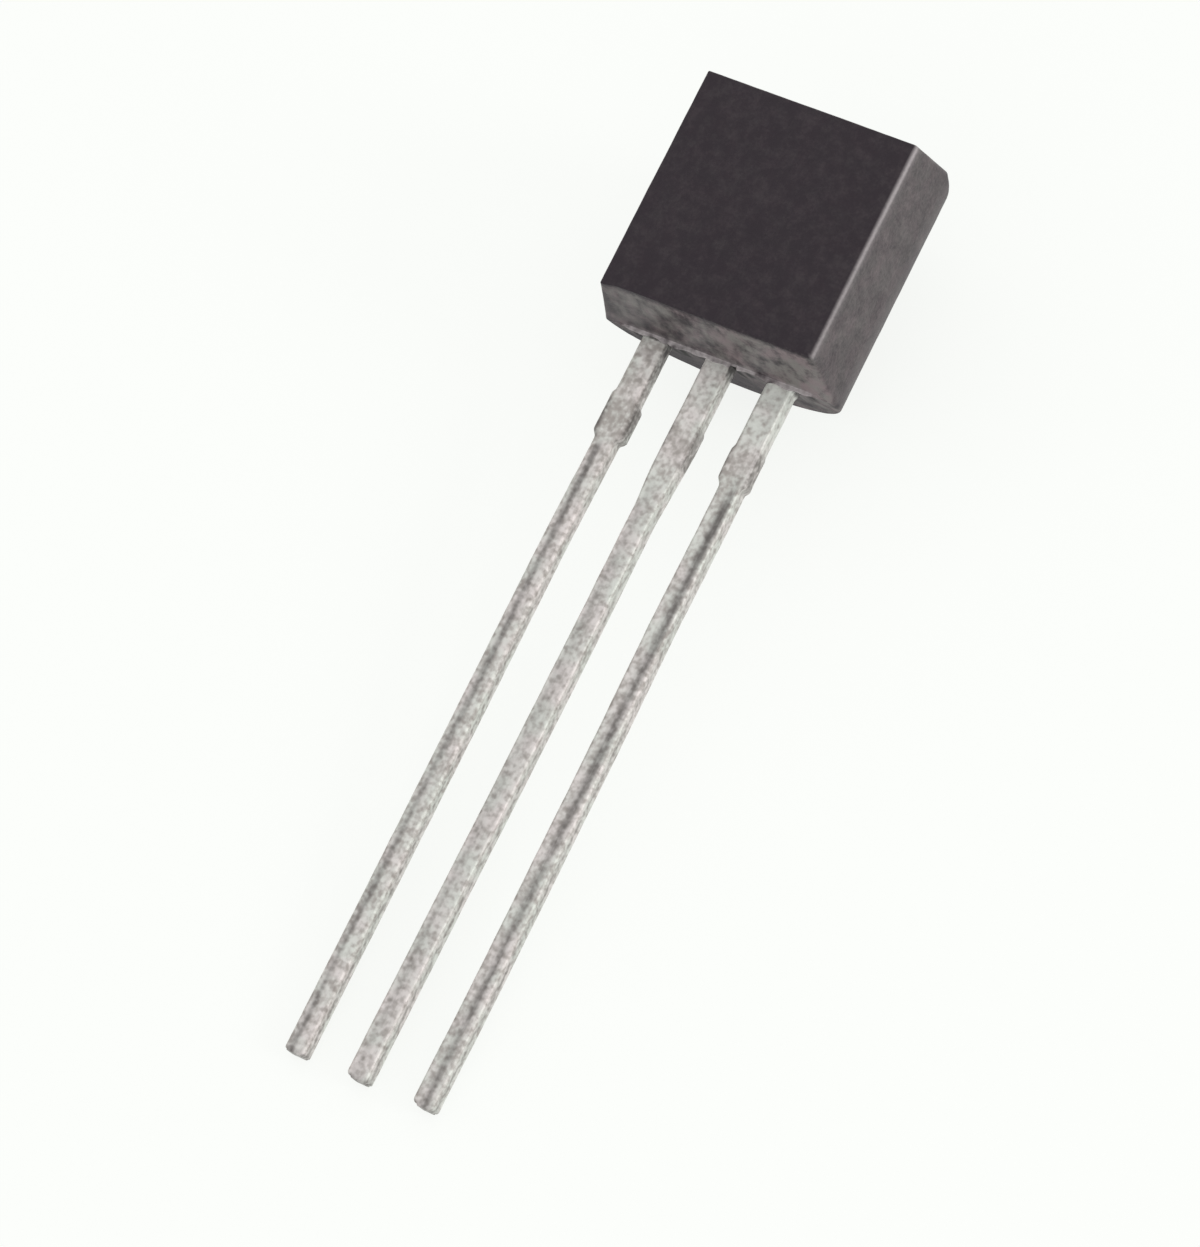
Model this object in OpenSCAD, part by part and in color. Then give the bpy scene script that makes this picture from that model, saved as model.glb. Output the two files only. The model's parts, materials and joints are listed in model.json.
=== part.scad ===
// Three-lead small-signal transistor in a moulded half-round package.
// Package axes: X along the row of leads, Y from the flat to the rounded back, Z away from the lead tips,
// with zero at the middle of the body on the parting plane. rest_pose() then lays the part down:
// flat face up, leads towards -Y, on the rim of its rounded back and its three lead tips.

/* [Body] */
// Width of the body, which is also the diameter of its rounded back
body_w = 4.58; // [4.45:0.01:4.75]
// Height of the body at the parting plane
body_h = 4.64; // [4.5:0.01:4.8]
// Depth of the front half, from the parting plane to the flat face
front_depth = 1.4; // [1.25:0.05:1.6]
// Draft of the front half's two sides, in degrees
side_draft = 7.7; // [5:0.1:9]
// Draft of the front half's top and bottom, in degrees
end_draft = 6.3; // [5:0.1:9]
// Draft of the rear half's top and bottom, in degrees
rear_draft = 9; // [6:0.5:11]
// Step at the parting plane, where the rear half stands proud of the front half
parting_step = 0.04; // [0.02:0.01:0.06]
// Radius of the four edges around the flat face
edge_r = 0.08; // [0.04:0.01:0.12]

/* [Mould voids] */
// Width of the small void beside each lead, from left to right
void_w = [0.05, 0.1, 0.06]; // [0.04:0.01:0.14]
// Size of each void along the lead and into the rear half
void_depth = 0.1; // [0.06:0.01:0.14]

/* [Leads] */
// Distance from one lead's centre to the next
lead_pitch = 1.27; // [1.25:0.01:1.3]
// Length of a lead outside the body
lead_len = 14; // [12.7:0.1:14.8]
// Width of a lead's long straight run
lead_w = 0.41; // [0.36:0.01:0.46]
// Thickness of the lead frame's sheet
lead_t = 0.38; // [0.34:0.01:0.44]
// Width of a lead's shoulder next to the body
shoulder_w = 0.5; // [0.47:0.01:0.56]
// Width across the dam-bar stubs left on each lead
stub_w = 0.6; // [0.58:0.01:0.68]
// Distance from the body to the near end of the dam-bar stubs
stub_start = 1.25; // [1.2:0.05:1.5]
// Length of the dam-bar stubs along the lead
stub_len = 0.8; // [0.7:0.05:1]
// Length of the stubs' sloped ends
stub_slope = 0.08; // [0.05:0.01:0.25]

/* [Lead frame inside the body] */
// Width of the paddle that carries the die
paddle_w = 2.1; // [1.9:0.05:2.2]
// Height of the paddle
paddle_h = 1.55; // [1.4:0.05:1.7]
// Height of the paddle's lower edge, from the middle of the body
paddle_z = -0.3; // [-0.35:0.05:0]
// Width of the emitter lead's bonding head
emitter_head_w = 0.75; // [0.65:0.05:0.85]
// Height of the emitter lead's bonding head
emitter_head_h = 1.3; // [1.1:0.05:1.5]
// Width of the base lead's bonding head
base_head_w = 0.8; // [0.6:0.05:1]
// Height of the base lead's bonding head
base_head_h = 0.55; // [0.45:0.05:0.7]
// Height of the emitter head's upper edge over the paddle's lower edge
emitter_rise = 0.65; // [0.5:0.05:0.8]
// Gap between the paddle and each bonding head
head_gap = 0.36; // [0.3:0.02:0.45]

/* [Die and bond wires] */
// Distance of the die's centre from the paddle's left edge
die_across = 0.85; // [0.6:0.05:1.1]
// Distance of the die's centre from the paddle's lower edge
die_up = 0.6; // [0.55:0.05:0.8]
// Side of the square silicon die
die_w = 0.46; // [0.36:0.02:0.56]
// Thickness of the silicon die
die_t = 0.18; // [0.14:0.01:0.22]
// Thickness of the layer that fixes the die to the paddle
attach_t = 0.02; // [0.02:0.005:0.04]
// How far the fixing layer shows around the die
attach_rim = 0.03; // [0.01:0.01:0.05]
// Diameter of a bond wire
wire_d = 0.03; // [0.025:0.001:0.04]
// Diameter of the ball at the die end of a bond wire
ball_d = 0.09; // [0.07:0.005:0.11]
// Thickness of that ball
ball_t = 0.025; // [0.02:0.005:0.04]
// Distance of the emitter wire's landing from the upper edge of its head
landing_z = 0.35; // [0.2:0.05:0.5]
// Rise of a bond wire's loop over the line between its two ends
wire_rise = 0.42; // [0.34:0.02:0.5]

/* [Hidden] */
$fn = 64;

mould_colour = [0.24, 0.22, 0.23];
tin_colour = [0.76, 0.75, 0.73];
silicon_colour = [0.35, 0.38, 0.45];
solder_colour = [0.6, 0.6, 0.58];
gold_colour = [0.9, 0.72, 0.3];
// Extra turn, in degrees, that takes each end of a wire's arc below the face it is bonded to.
lap = 3;

body_r = body_w / 2;
front_w = body_w - 2 * parting_step;
front_h = body_h - 2 * parting_step;
rear_h = body_h - 2 * body_r * tan(rear_draft);

// The lead tips' backs and the rear half's lower rim share the floor.
tip_z = -body_h / 2 - lead_len;
tilt = atan2(body_r - lead_t, -rear_h / 2 - tip_z);
rest_lift = body_r * cos(tilt) + rear_h / 2 * sin(tilt);
rest_far = max(body_h / 2 * cos(tilt), rear_h / 2 * cos(tilt) + body_r * sin(tilt));
rest_mid = (rest_far + tip_z * cos(tilt)) / 2;

// Places on the lead frame, seen from the front.
paddle_right = lead_pitch + shoulder_w / 2;
paddle_left = paddle_right - paddle_w;
emitter_right = paddle_left - head_gap;
emitter_bottom = paddle_z + emitter_rise - emitter_head_h;
base_top = paddle_z - head_gap;

// Places on the die and the two bonding heads, as [x, z].
die_x = paddle_left + die_across;
die_z = paddle_z + die_up;
die_front = -attach_t - die_t;
pad_offset = die_w / 4;
emitter_bond = [emitter_right - emitter_head_w / 2, emitter_bottom + emitter_head_h - landing_z];
base_bond = [0, base_top - base_head_h / 2];
emitter_pad = [die_x - pad_offset, die_z + pad_offset];
base_pad = [die_x + pad_offset, die_z - pad_offset];

// Distance of the edge circle's centre from the sharp corner it rounds.
function edge_in(angle) = edge_r * (1 - sin(angle)) / cos(angle);

module rest_pose() {
    translate([0, -rest_mid, rest_lift])
        rotate([tilt - 90, 0, 0])
            children();
}

// Turns a flat outline in X and Z into a sheet that starts at the parting plane and goes back.
module sheet(thickness) {
    translate([0, thickness, 0])
        rotate([90, 0, 0])
            linear_extrude(thickness)
                children();
}

// Front outline, from the parting line at y = 0 to the flat, with rounded corners at the flat.
module front_outline(width, angle) {
    corner_x = width / 2 - front_depth * tan(angle);
    centre_x = corner_x - edge_in(angle);
    centre_y = edge_r - front_depth;
    side_x = centre_x + edge_r * cos(angle);
    side_y = centre_y - edge_r * sin(angle);
    polygon([
        [width / 2, 0],
        [-width / 2, 0],
        [-side_x, side_y],
        [-centre_x, -front_depth],
        [centre_x, -front_depth],
        [side_x, side_y]
    ]);
    for (side = [-1, 1])
        translate([side * centre_x, centre_y])
            circle(edge_r);
}

// The front half of the moulding: drafted on its four sides.
module front_half() {
    intersection() {
        linear_extrude(body_h, center = true)
            front_outline(front_w, side_draft);
        rotate([0, 90, 0])
            linear_extrude(body_w, center = true)
                front_outline(front_h, end_draft);
    }
}

// The rear half: a half-round back with drafted top and bottom.
module rear_half() {
    intersection() {
        linear_extrude(body_h, center = true)
            intersection() {
                circle(body_r);
                translate([-body_r, 0])
                    square([body_w, body_r]);
            }
        rotate([0, 90, 0])
            linear_extrude(2 * body_w, center = true)
                polygon([
                    [body_h / 2, 0],
                    [rear_h / 2, body_r],
                    [-rear_h / 2, body_r],
                    [-body_h / 2, 0]
                ]);
    }
}

// One lead outside the body: shoulder, dam-bar stubs and straight run, as a flat outline.
module lead_outline() {
    exit_z = -body_h / 2;
    stub_top = exit_z - stub_start;
    stub_bottom = stub_top - stub_len;
    translate([-lead_w / 2, tip_z])
        square([lead_w, lead_len]);
    translate([-shoulder_w / 2, stub_bottom + stub_slope])
        square([shoulder_w, exit_z - stub_bottom - stub_slope]);
    polygon([
        [-shoulder_w / 2, stub_top],
        [-stub_w / 2, stub_top - stub_slope],
        [-stub_w / 2, stub_bottom + stub_slope],
        [-lead_w / 2, stub_bottom - stub_slope],
        [lead_w / 2, stub_bottom - stub_slope],
        [stub_w / 2, stub_bottom + stub_slope],
        [stub_w / 2, stub_top - stub_slope],
        [shoulder_w / 2, stub_top]
    ]);
}

// A lead's root inside the body, from its exit up to the height given.
module lead_root(top_z) {
    translate([-shoulder_w / 2, -body_h / 2])
        square([shoulder_w, top_z + body_h / 2]);
}

module emitter_lead_form() {
    sheet(lead_t) {
        translate([-lead_pitch, 0]) {
            lead_outline();
            lead_root(emitter_bottom + emitter_head_h / 2);
        }
        translate([emitter_right - emitter_head_w, emitter_bottom])
            square([emitter_head_w, emitter_head_h]);
    }
}

module base_lead_form() {
    sheet(lead_t) {
        lead_outline();
        lead_root(base_top - base_head_h / 2);
        translate([-base_head_w / 2, base_top - base_head_h])
            square([base_head_w, base_head_h]);
    }
}

module collector_lead_form() {
    sheet(lead_t) {
        translate([lead_pitch, 0]) {
            lead_outline();
            lead_root(paddle_z + shoulder_w);
        }
        translate([paddle_left, paddle_z])
            square([paddle_w, paddle_h]);
    }
}

// A plate in front of the paddle, centred on the die.
module die_plate(width, back_y, thickness) {
    translate([die_x, back_y, die_z])
        rotate([90, 0, 0])
            linear_extrude(thickness)
                square(width, center = true);
}

module silicon_die_form() {
    die_plate(die_w, -attach_t, die_t);
}

module die_attach_form() {
    die_plate(die_w + 2 * attach_rim, 0, attach_t);
}

// A bond wire: a ball on the die's pad, and an arc from it down to the front of a bonding head.
module bond_wire(pad, head) {
    run = norm(head - pad);
    turn = atan2(head[1] - pad[1], head[0] - pad[0]);
    drop = -die_front;
    chord = norm([run, drop]);
    arc_r = (chord * chord / 4 + wire_rise * wire_rise) / (2 * wire_rise);
    half_angle = asin(chord / (2 * arc_r));
    slope = atan2(-drop, run);
    difference() {
        translate([pad[0], die_front, pad[1]])
            rotate([0, -turn, 0])
                rotate([90, 0, 0]) {
                    cylinder(d = ball_d, h = ball_t);
                    rotate([90, 0, 0])
                        translate([chord / 2 * cos(slope), chord / 2 * sin(slope), 0])
                            rotate(slope)
                                translate([0, wire_rise - arc_r, 0])
                                    rotate(90 - half_angle - lap)
                                        rotate_extrude(angle = 2 * (half_angle + lap))
                                            translate([arc_r, 0])
                                                circle(d = wire_d);
                }
        silicon_die_form();
        sheet(lead_t)
            translate([-body_r, -body_r])
                square(body_w);
    }
}

module emitter_wire_form() {
    bond_wire(emitter_pad, emitter_bond);
}

module base_wire_form() {
    bond_wire(base_pad, base_bond);
}

// The small voids in the rear half's underside, each against the right side of its lead.
module mould_voids() {
    for (i = [0:2])
        translate([(i - 1) * lead_pitch + shoulder_w / 2, 0, -body_h / 2 - void_depth])
            cube([void_w[i], void_depth, 2 * void_depth]);
}

module mould_body() {
    color(mould_colour)
        rest_pose()
            difference() {
                union() {
                    front_half();
                    rear_half();
                }
                emitter_lead_form();
                base_lead_form();
                collector_lead_form();
                die_attach_form();
                silicon_die_form();
                emitter_wire_form();
                base_wire_form();
                mould_voids();
            }
}

module emitter_lead() {
    color(tin_colour)
        rest_pose()
            emitter_lead_form();
}

module base_lead() {
    color(tin_colour)
        rest_pose()
            base_lead_form();
}

module collector_lead() {
    color(tin_colour)
        rest_pose()
            collector_lead_form();
}

module silicon_die() {
    color(silicon_colour)
        rest_pose()
            silicon_die_form();
}

module die_attach() {
    color(solder_colour)
        rest_pose()
            die_attach_form();
}

module emitter_wire() {
    color(gold_colour)
        rest_pose()
            emitter_wire_form();
}

module base_wire() {
    color(gold_colour)
        rest_pose()
            base_wire_form();
}

mould_body();
emitter_lead();
base_lead();
collector_lead();
silicon_die();
die_attach();
emitter_wire();
base_wire();
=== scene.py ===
"""Dresses a small three-lead transistor: its moulded body, tinned leads and inner pieces, in a pale studio.

Package axes, used by every shape below: X along the row of leads, Y from the flat to the rounded back,
Z away from the lead tips, with zero on the parting plane at the middle of the CAD's body. Lengths are in
metres unless a name or comment says millimetres.
"""

import json
import math
from collections import namedtuple

import bmesh
import bpy
import numpy as np
from bpy.props import FloatProperty, FloatVectorProperty, PointerProperty
from bpy.types import Operator, Panel, PropertyGroup
from mathutils import Matrix, Vector


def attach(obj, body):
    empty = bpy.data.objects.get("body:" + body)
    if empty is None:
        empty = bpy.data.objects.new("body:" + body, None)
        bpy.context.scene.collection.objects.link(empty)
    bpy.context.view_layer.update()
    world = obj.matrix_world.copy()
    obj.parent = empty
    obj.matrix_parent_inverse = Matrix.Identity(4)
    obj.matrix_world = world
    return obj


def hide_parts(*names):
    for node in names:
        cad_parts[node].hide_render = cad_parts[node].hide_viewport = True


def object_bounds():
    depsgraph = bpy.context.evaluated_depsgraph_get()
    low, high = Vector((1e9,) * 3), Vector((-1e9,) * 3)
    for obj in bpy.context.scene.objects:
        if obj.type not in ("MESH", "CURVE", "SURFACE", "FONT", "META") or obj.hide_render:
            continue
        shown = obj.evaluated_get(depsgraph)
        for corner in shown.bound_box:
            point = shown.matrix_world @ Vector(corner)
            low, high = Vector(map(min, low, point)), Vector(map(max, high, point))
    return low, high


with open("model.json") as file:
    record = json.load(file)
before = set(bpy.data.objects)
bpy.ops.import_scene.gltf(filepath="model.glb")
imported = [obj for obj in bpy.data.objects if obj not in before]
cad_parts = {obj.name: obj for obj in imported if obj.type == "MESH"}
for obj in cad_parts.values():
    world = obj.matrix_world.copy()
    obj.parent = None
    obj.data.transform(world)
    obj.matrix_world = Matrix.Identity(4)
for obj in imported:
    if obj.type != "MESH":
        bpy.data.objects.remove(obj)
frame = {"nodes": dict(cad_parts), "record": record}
CAD_LOW, CAD_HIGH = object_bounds()

bl_info = {
    "name": "Moulded Transistor",
    "version": (1, 0, 0),
    "blender": (4, 5, 0),
    "location": "View3D > Sidebar > Transistor",
    "description": "Builds a half-round moulded transistor with tinned leads, and a pale studio around it",
    "category": "Add Mesh",
}

MM = 0.001

# Where the flat face lies and which way it looks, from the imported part.
FLAT_MOUNT = next(m for m in frame["record"]["mounts"] if m["name"] == "front_flat")
PACKAGE_X = np.array([1.0, 0.0, 0.0])
PACKAGE_Y = -np.array(FLAT_MOUNT["axis"]) / np.linalg.norm(FLAT_MOUNT["axis"])
PACKAGE_Z = np.cross(PACKAGE_X, PACKAGE_Y)

# Seeds of the random unevenness, by use. The middle lead takes five from the last one on, and its
# neighbours the five before and the five after those.
SEEDS = {"swell": 3, "dimples": 4, "beads": 9, "dashes": 10, "flash": 12, "leads": 20}


def length(name, default_mm, description):
    """A length property whose default is given in millimetres."""
    return FloatProperty(
        name=name, description=description, default=default_mm * MM, min=0.0, precision=6, unit="LENGTH"
    )


def lengths(name, defaults_mm, description):
    """Three lengths whose defaults are given in millimetres."""
    return FloatVectorProperty(
        name=name,
        description=description,
        default=tuple(value * MM for value in defaults_mm),
        size=3,
        unit="LENGTH",
        precision=6,
    )


def angle(name, default_degrees, description):
    """An angle property whose default is given in degrees."""
    return FloatProperty(
        name=name, description=description, default=math.radians(default_degrees), unit="ROTATION"
    )


def colour(name, default, description):
    """A colour property, in linear red, green and blue."""
    return FloatVectorProperty(
        name=name, description=description, default=default, min=0.0, max=1.0, size=3, subtype="COLOR"
    )


def share(name, default, description):
    """A plain number from 0 to 1."""
    return FloatProperty(
        name=name, description=description, default=default, min=0.0, max=1.0, subtype="FACTOR"
    )


def brightness(name, default, description):
    """A brightness, where a lit white surface has about 1."""
    return FloatProperty(name=name, description=description, default=default, min=0.0)


class BodySizes(PropertyGroup):
    """Sizes of the moulded body."""

    width: length("Width", 4.62, "Width of the body at the parting plane")
    height: length("Height", 4.68, "Height of the body at the parting plane")
    rise: length("Rise", 0.02, "How far the middle of the body stands above the package's zero")
    front_depth: length("Front depth", 1.4, "Depth from the parting plane to the flat")
    rear_depth: length("Rear depth", 2.29, "Depth from the parting plane to the line of the back")
    flat_width: length("Flat width", 4.12, "Width of the flat, edge to edge, without its reach")
    flat_height: length("Flat height", 4.25, "Height of the flat, edge to edge")
    flat_reach: length("Flat reach", 0.064, "How much further the flat reaches at its right side")
    top_tilt: angle("Top tilt", 0.8, "How much the flat's top edge falls to the right")
    corner_drop: length("Corner drop", 0.05, "How much lower the flat's lower left corner hangs")
    rear_draft: angle("Rear draft", 9.0, "Draft of the rear half's top and bottom")
    parting_step: length("Parting step", 0.04, "How far the rear half stands out at the underside")
    flat_edge: length("Flat edge", 0.08, "Radius of the flat's right edge, the most rounded one")
    corner: length("Corner", 0.035, "Radius of the front half's four standing corners, next to the flat")
    top_corner: length("Top corner", 0.12, "Radius of the two upper corners at the parting plane")
    foot_corner: length("Foot corner", 0.08, "Radius of the two lower corners at the parting plane")
    rear_rim: length("Rear rim", 0.06, "Radius of the rims of the rounded back")
    flash: length("Flash", 0.072, "How far the thin flash stands out below the parting line")
    ripple: length("Ripple", 0.0016, "Height of the slow unevenness of the moulded faces")
    void_depth: length("Void depth", 0.1, "Size of the small voids beside the leads")
    void_widths: lengths("Void widths", (0.05, 0.12, 0.03), "Widths of the voids, from the left lead on")


class LeadSizes(PropertyGroup):
    """Sizes that the three leads share."""

    pitch: length("Pitch", 1.27, "Distance from one lead to the next")
    free_length: length("Length", 14.0, "Length of a lead outside the body")
    width: length("Width", 0.41, "Width of a lead's straight run")
    thickness: length("Thickness", 0.38, "Thickness of the sheet that the leads are cut from")
    shoulder: length("Shoulder", 0.5, "Width of a lead next to the body")
    end_edge: length("End edge", 0.022, "Radius of the edges round a lead's two ends")
    dish: length("Dish", 0.006, "Depth of the shallow hollow along a lead's broad faces")
    row_step: length("Row step", 0.04, "Distance between two rows of faces along a lead")


# A sheared tip, in millimetres: how much shorter the lead is cut, and the radii of the tip's corners.
Tip = namedtuple("Tip", "short left right")

# What is left of the dam bar at one side of a lead, in millimetres. It stands out of the shoulder by out,
# from start to stop below the body, with a slope after it.
Stub = namedtuple("Stub", "out start stop slope")

# A painted reflection: the dark line along the front of a lead's run. Its place and its reach to the left and
# right are shares of the run's half width. near and far are its darkness beside the stubs and towards the
# tip. It begins at start below the body and deepens over rise, in millimetres.
Mark = namedtuple("Mark", "place left right near far start rise")

# Painted shade where a lead leaves the body, drawn as a dark film: its reach down the front and down the
# right side, in millimetres, how much of that side it covers, and how dark the painted shadow in the socket
# between that side and the body is.
Bleed = namedtuple("Bleed", "front side cover socket")

# How dull the parts of a lead are, under zero where they are cleaner than the rest.
Dullness = namedtuple("Dullness", "shoulder stubs run")

# How dark the stubs' left and right outlines are.
Rims = namedtuple("Rims", "left right")

# A bright line: its place across the lead and its start and stop below the body, in millimetres.
Glint = namedtuple("Glint", "place start stop strength")

# What differs from one lead to the next. place counts pitches from the middle lead. edge is the radius of
# the long edges, in millimetres. stray gives how far the lead strays sideways, as pairs of a distance
# below the body and an offset to the right, in millimetres.
LeadLook = namedtuple("LeadLook", "place edge tip stub_left stub_right mark bleed dull rims glint stray")

LEADS = {
    "emitter_lead": LeadLook(
        place=-1,
        edge=0.085,
        tip=Tip(short=0.0, left=0.04, right=0.03),
        stub_left=Stub(out=0.045, start=1.14, stop=1.92, slope=0.12),
        stub_right=Stub(out=0.055, start=1.28, stop=1.93, slope=0.07),
        mark=Mark(place=-0.2, left=0.42, right=0.38, near=0.76, far=0.52, start=1.95, rise=0.3),
        bleed=Bleed(front=0.05, side=1.2, cover=0.62, socket=0.9),
        dull=Dullness(shoulder=0.18, stubs=0.46, run=0.0),
        rims=Rims(left=1.0, right=1.0),
        glint=Glint(place=0.19, start=0.15, stop=1.15, strength=0.9),
        stray=(
            (0.0, 0.0), (1.9, 0.004), (4.3, -0.024), (6.0, -0.011), (8.0, 0.0), (10.0, 0.009), (13.0, 0.017),
        ),
    ),
    "base_lead": LeadLook(
        place=0,
        edge=0.06,
        tip=Tip(short=0.03, left=0.09, right=0.04),
        stub_left=Stub(out=0.003, start=1.2, stop=2.15, slope=0.8),
        stub_right=Stub(out=0.03, start=1.27, stop=1.66, slope=1.4),
        mark=Mark(place=-0.4, left=0.35, right=1.0, near=0.36, far=0.36, start=2.1, rise=0.6),
        bleed=Bleed(front=0.015, side=0.22, cover=0.9, socket=0.0),
        dull=Dullness(shoulder=-0.14, stubs=0.32, run=-0.12),
        rims=Rims(left=0.45, right=0.8),
        glint=Glint(place=0.19, start=2.3, stop=14.0, strength=0.3),
        stray=((0.0, 0.006), (3.4, 0.0), (5.2, 0.01), (8.6, 0.012), (10.6, 0.0), (13.0, -0.012)),
    ),
    "collector_lead": LeadLook(
        place=1,
        edge=0.055,
        tip=Tip(short=0.07, left=0.1, right=0.05),
        stub_left=Stub(out=0.035, start=1.33, stop=1.93, slope=0.12),
        stub_right=Stub(out=0.02, start=1.28, stop=1.94, slope=0.06),
        mark=Mark(place=0.39, left=0.6, right=0.34, near=0.92, far=0.58, start=1.2, rise=1.8),
        bleed=Bleed(front=0.012, side=0.08, cover=0.9, socket=0.0),
        dull=Dullness(shoulder=-0.32, stubs=0.26, run=0.0),
        rims=Rims(left=0.3, right=0.8),
        glint=Glint(place=0.24, start=1.25, stop=2.0, strength=0.9),
        stray=(
            (0.0, -0.032), (1.2, -0.036), (1.7, -0.042), (2.0, -0.018), (2.9, -0.012), (4.6, -0.028),
            (7.0, 0.008), (8.8, 0.016), (10.6, 0.026), (12.4, 0.03), (14.0, 0.01),
        ),
    ),
}


class FinishColours(PropertyGroup):
    """Colours and wear of the finishes."""

    compound: colour("Compound", (0.0125, 0.006, 0.0115), "Moulding compound on the flat")
    # Painted light: a grey haze that lightens the faces off the flat, and a paler copy of it on the
    # underside.
    lit_side_haze: colour("Compound haze", (0.125, 0.107, 0.108), "Grey haze of filler on the other faces")
    lit_underside_haze: colour("Underside haze", (0.1725, 0.14766, 0.14904), "Paler haze on the underside")
    # A pale tone for painted highlights: the line along the flat's right edge, and the lit ledge and flash.
    compound_highlight: colour("Compound edge", (0.42, 0.385, 0.39), "Rubbed edges of the moulding, and its dust")
    # Painted shade: a near black tone in the voids, in the gaps beside the leads and behind the flash.
    gap: colour("Gap", (0.0005, 0.0005, 0.0005), "Depth of the voids and gaps beside the leads")
    tin_warm: colour("Warm tin", (0.76, 0.715, 0.70), "Clean tin on the leads, where it is warm in tone")
    tin_cool: colour("Cool tin", (0.705, 0.72, 0.68), "Clean tin on the leads, where it is cool in tone")
    tin_dull: colour("Dull tin", (0.43, 0.40, 0.378), "Dull tin on the shoulders and stubs")
    # tin_dark also paints the dark line along a lead's front, a painted reflection.
    tin_dark: colour("Dark tin", (0.15, 0.14, 0.135), "Drawn marks and sheared faces")
    # Painted shade on the leads next to the body, drawn as a dark film that is less metallic.
    body_shade_tone: colour("Resin", (0.045, 0.041, 0.04), "Film of resin on the leads next to the body")
    silicon: colour("Silicon", (0.16, 0.18, 0.24), "Silicon die")
    solder: colour("Solder", (0.42, 0.41, 0.39), "Layer under the die")
    gold: colour("Gold", (0.85, 0.58, 0.2), "Bond wires")
    # Strength of the painted highlight along the flat's right edge.
    edge_highlight: share("Edge wear", 0.9, "How much of an edge is rubbed light")


class StudioSettings(PropertyGroup):
    """The camera, the floor and the lights."""

    azimuth: angle("Azimuth", 50.56, "Turn of the camera round the part, from looking along +Y")
    elevation: angle("Elevation", 60.48, "Height of the camera over the horizon")
    roll: angle("Roll", 24.57, "Turn of the camera about its own line of sight")
    distance: length("Distance", 74.28, "Distance from the camera to the point it looks at")
    aim: lengths("Aim", (0.4832, -0.6436, 0.0064), "The point looked at, from the middle of the part's box")
    lens: FloatProperty(name="Lens", description="Focal length in millimetres", default=125.9, min=10.0)
    floor: length("Floor", 1200.0, "Width of the floor")
    floor_colour: colour("Floor colour", (0.972, 0.988, 0.964), "Pale floor")
    floor_glow: share("Floor glow", 0.86, "Share of the floor's brightness that comes from below it")
    sky_colour: colour("Sky colour", (1.0, 1.0, 0.995), "Surroundings")
    sky: brightness("Sky", 0.95, "Brightness of the surroundings overhead")
    horizon: brightness("Horizon", 0.85, "Brightness of the surroundings at floor level")
    key: brightness("Key", 9.0, "Brightness of the key light's face")
    key_azimuth: angle("Key azimuth", 99.0, "Turn of the key light round the part, from the -Y side")
    key_elevation: angle("Key elevation", 24.0, "Height of the key light over the horizon")
    key_distance: length("Key distance", 300.0, "Distance from the key light to the part")
    key_size: length("Key size", 90.0, "Width of the key light's square face")


def exit_height(body):
    """Where the leads leave the body."""
    return body.rise - body.height / 2


def package_zero(body):
    """The place of the package's zero: the flat's centre stands front_depth before it."""
    return np.array(FLAT_MOUNT["pos_m"]) + body.front_depth * PACKAGE_Y


def to_world(points, body):
    """Moves points from package axes to the part's frame."""
    x, y, z = points[..., :1], points[..., 1:2], points[..., 2:3]
    return package_zero(body) + x * PACKAGE_X + y * PACKAGE_Y + z * PACKAGE_Z


def loop_columns(along_side, along_end, corner_steps):
    """Lays out the columns of a rounded rectangle, as (px, pz, cx, cz).

    A column's point is px times the half width less the corner, plus cx times the corner, and the same
    with pz and cz in height. Sides use along_side, ends use along_end, both from -1 to 1, and corners
    turn a quarter circle.
    """
    turn = np.linspace(0.0, math.pi / 2, corner_steps + 2)[1:-1]
    parts = []
    for quarter in range(4):
        upright = quarter % 2 == 0
        run = along_side if upright else along_end
        sign = 1.0 if quarter < 2 else -1.0
        if upright:
            side = np.stack([np.full_like(run, sign), run * sign, np.full_like(run, sign), run * 0.0])
        else:
            side = np.stack([-run * sign, np.full_like(run, sign), run * 0.0, np.full_like(run, sign)])
        spin = quarter * math.pi / 2 + turn
        corner_x = 1.0 if quarter in (0, 3) else -1.0
        corner_z = 1.0 if quarter in (0, 1) else -1.0
        corner = np.stack(
            [np.full_like(spin, corner_x), np.full_like(spin, corner_z), np.cos(spin), np.sin(spin)]
        )
        parts += [side, corner]
    return np.concatenate(parts, axis=1)


def ripple(points, wavelength, seed, waves=14):
    """Slow random unevenness of about unit height: a sum of plane waves in random directions and phases."""
    rng = np.random.default_rng(seed)
    direction = rng.normal(size=(3, waves))
    direction /= np.linalg.norm(direction, axis=0)
    number = 2 * math.pi / wavelength * rng.uniform(0.6, 1.6, waves)
    phase = rng.uniform(0.0, 2 * math.pi, waves)
    return np.cos(points @ (direction * number) + phase).sum(axis=-1) / math.sqrt(waves)


def smooth_step(x):
    """Zero below 0, one above 1, and a smooth rise between: x squared times 3 - 2 x."""
    x = np.clip(x, 0.0, 1.0)
    return x * x * (3.0 - 2.0 * x)


def bell(x, width):
    """One at zero, falling off on both sides: e to the power of minus x over the width, squared."""
    return np.exp(-((x / width) ** 2))


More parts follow.
